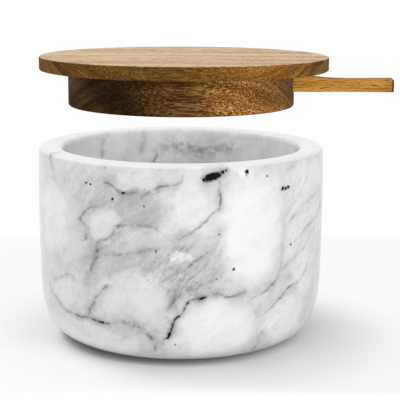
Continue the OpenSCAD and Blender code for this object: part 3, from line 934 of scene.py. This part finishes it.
class SALT_OT_stage(bpy.types.Operator):
    """Lays the floor and sets the camera, the lamps and the world"""

    bl_idname = "salt_cellar.stage"
    bl_label = "Stage"

    def execute(self, context):
        s = context.scene.salt_stage
        bpy.ops.mesh.primitive_plane_add(size=s.floor_w)
        floor = context.active_object
        floor.name = floor.data.name = "floor"
        floor.data.materials.append(matt_floor(s))
        lit_with("bowl").objects.link(floor)

        bpy.ops.object.camera_add(location=(0, -s.camera_back, s.camera_up))
        camera = context.active_object
        camera.rotation_euler = (
            Matrix.Rotation(-s.camera_yaw, 3, "Z")
            @ Matrix.Rotation(math.pi / 2 - s.camera_pitch, 3, "X")
            @ Matrix.Rotation(s.camera_roll, 3, "Z")
        ).to_euler()
        camera.data.lens = s.lens_mm
        camera.data.sensor_width = 36
        camera.data.clip_start, camera.data.clip_end = 10 * MM, 50
        context.scene.camera = camera

        target = Vector((0, 0, BOWL_HIGH.z))
        for name, place, width, height, power in (
            ("key_lamp", (-0.55, 0.35, 0.85), 0.55, 0.55, s.key_power),
            ("side_lamp", (0.75, -0.72, 0.6), 0.7, 0.7, s.side_power),
            ("front_lamp", (-0.1, -0.75, 0.2), 0.7, 0.16, s.front_power),
        ):
            for body in ("bowl", "lid"):
                bpy.ops.object.light_add(type="AREA", location=place)
                lamp = context.active_object
                lamp.name = lamp.data.name = f"{name}_{body}"
                lamp.rotation_euler = (target - Vector(place)).to_track_quat("-Z", "Y").to_euler()
                lamp.data.shape = "RECTANGLE"
                lamp.data.size, lamp.data.size_y = width, height
                lamp.data.energy = power
                lamp.visible_camera = lamp.visible_glossy = False
                lamp.light_linking.receiver_collection = lit_with(body)
                lamp.light_linking.blocker_collection = lit_with(body)

        world = bpy.data.worlds.new("studio")
        context.scene.world = world
        world.cycles.sampling_method = "NONE"
        add = start_nodes(world)
        level = add("MapRange", {"Value": seen_by_rays(add), "To Min": s.world_level, "To Max": 1})
        sky = add("Background", {"Color": (1, 1, 1, 1), "Strength": level})
        add("OutputWorld", {"Surface": sky})
        context.scene.view_settings.view_transform = "Standard"
        return {"FINISHED"}


class SALT_OT_marble_bowl(bpy.types.Operator):
    """Turns and polishes the marble bowl"""

    bl_idname = "salt_cellar.marble_bowl"
    bl_label = "Marble bowl"

    def execute(self, context):
        s = context.scene.salt_bowl
        piece = turned("bowl_turned", bowl_outline(s), (0, 0))
        end_piece(piece, "bowl", polished_marble(s), "marble_bowl")
        return {"FINISHED"}


class SALT_OT_lid_disc(bpy.types.Operator):
    """Turns the upper, wider step of the lid"""

    bl_idname = "salt_cellar.lid_disc"
    bl_label = "Lid disc"

    def execute(self, context):
        s = context.scene.salt_lid
        outline = slab_outline(DISC_LOW, DISC_HIGH, s.disc_edge_r, s.disc_edge_r)
        piece = turned("disc_turned", outline, ((DISC_LOW.x + DISC_HIGH.x) / 2, 0))
        edge = (s.disc_light, s.disc_mid, s.disc_dark)
        top = (s.painted_lit_top_light, s.painted_lit_top_mid, s.painted_lit_top_dark)
        wood = oiled_wood("oiled_acacia_disc", DISC_GRAIN, edge, top, end_share=0.85)
        end_piece(piece, "lid", wood, "lid_disc")
        return {"FINISHED"}


class SALT_OT_lid_plug(bpy.types.Operator):
    """Turns the lower step of the lid and cuts the spoon's slot into it"""

    bl_idname = "salt_cellar.lid_plug"
    bl_label = "Lid plug"

    def execute(self, context):
        s = context.scene.salt_lid
        piece = turned("plug_turned", slab_outline(PLUG_LOW, PLUG_HIGH, s.plug_edge_r, 0), (0, 0))
        bpy.ops.mesh.primitive_cube_add(size=1)
        cutter = start_piece("slot_cutter")
        reach = PLUG_HIGH.x + s.slot_w - s.slot_start
        tall = 2 * s.slot_h
        bpy.ops.transform.resize(value=(reach, s.slot_w, tall))
        bpy.ops.transform.translate(value=(s.slot_start + reach / 2, 0, PLUG_HIGH.z - s.slot_h + tall / 2))
        near_start = s.slot_start + MM
        select_parts(
            cutter, "EDGE",
            lambda ends: ends[0].x < near_start and abs(ends[0].z - ends[1].z) > s.slot_h)
        nearly_half_w = 0.499 * s.slot_w
        bpy.ops.mesh.bevel(offset=nearly_half_w, segments=ARC_STEPS)
        bpy.ops.object.mode_set(mode="OBJECT")
        cut(piece, cutter)
        side = (s.plug_light, s.plug_mid, s.plug_dark)
        wood = oiled_wood("oiled_acacia_plug", PLUG_GRAIN, side, side, end_share=0.95)
        end_piece(piece, "lid", wood, "lid_plug")
        return {"FINISHED"}


class SALT_OT_spoon(bpy.types.Operator):
    """Carves the spoon section by section and hollows its pan"""

    bl_idname = "salt_cellar.spoon"
    bl_label = "Spoon"

    def execute(self, context):
        s = context.scene.salt_spoon
        sections = [
            ((SPOON_LOW.x + x, 0, SPOON_LOW.z + (low + high) / 2), (1, 2 * half_w, high - low))
            for x, half_w, low, high in spoon_stations(s)
        ]
        _, (_, tip_w, tip_h) = sections[0]
        bpy.ops.mesh.primitive_plane_add(size=1)
        piece = start_piece("spoon_carved")
        bpy.ops.transform.rotate(value=math.pi / 2, orient_axis="Y")
        bpy.ops.transform.resize(value=(1, s.neck_w, s.waist_t))
        bpy.ops.mesh.bevel(offset=s.edge_r, segments=EDGE_STEPS, affect="VERTICES")
        bpy.ops.transform.resize(value=(1, tip_w / s.neck_w, tip_h / s.waist_t))
        extrude_through(sections)
        end_start = SPOON_HIGH.x - s.end_r - TINY
        select_parts(piece, "VERT", lambda ends: ends[0].x > end_start)
        far_corner = (SPOON_HIGH.x, s.end_w / 2, sections[-1][0][2])
        bpy.ops.transform.rotate(value=s.end_skew, orient_axis="Z", center_override=far_corner)
        bpy.ops.mesh.select_all(action="SELECT")
        bpy.ops.mesh.normals_make_consistent(inside=False)
        bpy.ops.object.mode_set(mode="OBJECT")

        # The hollow is a sphere drawn out along the pan, sunk by its depth
        hollow_half_w = SPOON_SIZE.y / 2 - s.pan_wall
        hollow_r = (hollow_half_w**2 + s.hollow_depth**2) / (2 * s.hollow_depth)
        start = s.pan_wall + hollow_half_w
        drawn_out = max(0, s.pan_l + s.pan_wall - start)
        bpy.ops.mesh.primitive_uv_sphere_add(segments=64, ring_count=32, radius=hollow_r)
        cutter = start_piece("hollow_cutter")
        select_parts(cutter, "VERT", lambda ends: ends[0].x > TINY)
        bpy.ops.transform.translate(value=(drawn_out, 0, 0))
        bpy.ops.mesh.select_all(action="SELECT")
        sunk = SPOON_HIGH.z + hollow_r - s.hollow_depth
        bpy.ops.transform.translate(value=(SPOON_LOW.x + start, 0, sunk))
        bpy.ops.object.mode_set(mode="OBJECT")
        cut(piece, cutter)
        carved = (s.light, s.mid, s.dark)
        wood = oiled_wood("oiled_beech_spoon", SPOON_GRAIN, carved, carved, end_share=0.5)
        end_piece(piece, "spoon", wood, "spoon")
        return {"FINISHED"}


class SALT_OT_foot_pads(bpy.types.Operator):
    """Moulds the rubber pads"""

    bl_idname = "salt_cellar.foot_pads"
    bl_label = "Foot pads"

    def execute(self, context):
        s = context.scene.salt_pads
        rubber = moulded_rubber(s)
        for number, node in enumerate(PAD_NODES, 1):
            low, high = BOX[node]
            pad = turned(f"pad_{number}", slab_outline(low, high, s.edge_r, 0), ((low + high) / 2).xy)
            end_piece(pad, "bowl", rubber, node)
        return {"FINISHED"}


class SALT_PT_panel(bpy.types.Panel):
    """Makes the pieces of the salt cellar one by one"""

    bl_idname = "SALT_PT_panel"
    bl_label = "Salt Cellar"
    bl_space_type = "VIEW_3D"
    bl_region_type = "UI"
    bl_category = "Salt Cellar"

    def draw(self, context):
        for operator in OPERATORS:
            self.layout.operator(operator.bl_idname)
        for name, group in SETTINGS.items():
            box = self.layout.box()
            box.label(text=group.__doc__)
            for setting in group.__annotations__:
                box.prop(getattr(context.scene, name), setting)


OPERATORS = (
    SALT_OT_stage, SALT_OT_marble_bowl, SALT_OT_lid_disc, SALT_OT_lid_plug, SALT_OT_spoon, SALT_OT_foot_pads,
)


def register():
    for cls in (*SETTINGS.values(), *OPERATORS, SALT_PT_panel):
        bpy.utils.register_class(cls)
    for name, group in SETTINGS.items():
        setattr(bpy.types.Scene, name, PointerProperty(type=group))


def unregister():
    for name in SETTINGS:
        delattr(bpy.types.Scene, name)
    for cls in (SALT_PT_panel, *OPERATORS, *SETTINGS.values()):
        bpy.utils.unregister_class(cls)


def main():
    """Registers the add-on and makes the stage and every piece."""
    register()
    bpy.ops.salt_cellar.stage()
    bpy.ops.salt_cellar.marble_bowl()
    bpy.ops.salt_cellar.lid_disc()
    bpy.ops.salt_cellar.lid_plug()
    bpy.ops.salt_cellar.spoon()
    bpy.ops.salt_cellar.foot_pads()


if __name__ == "__main__":
    main()
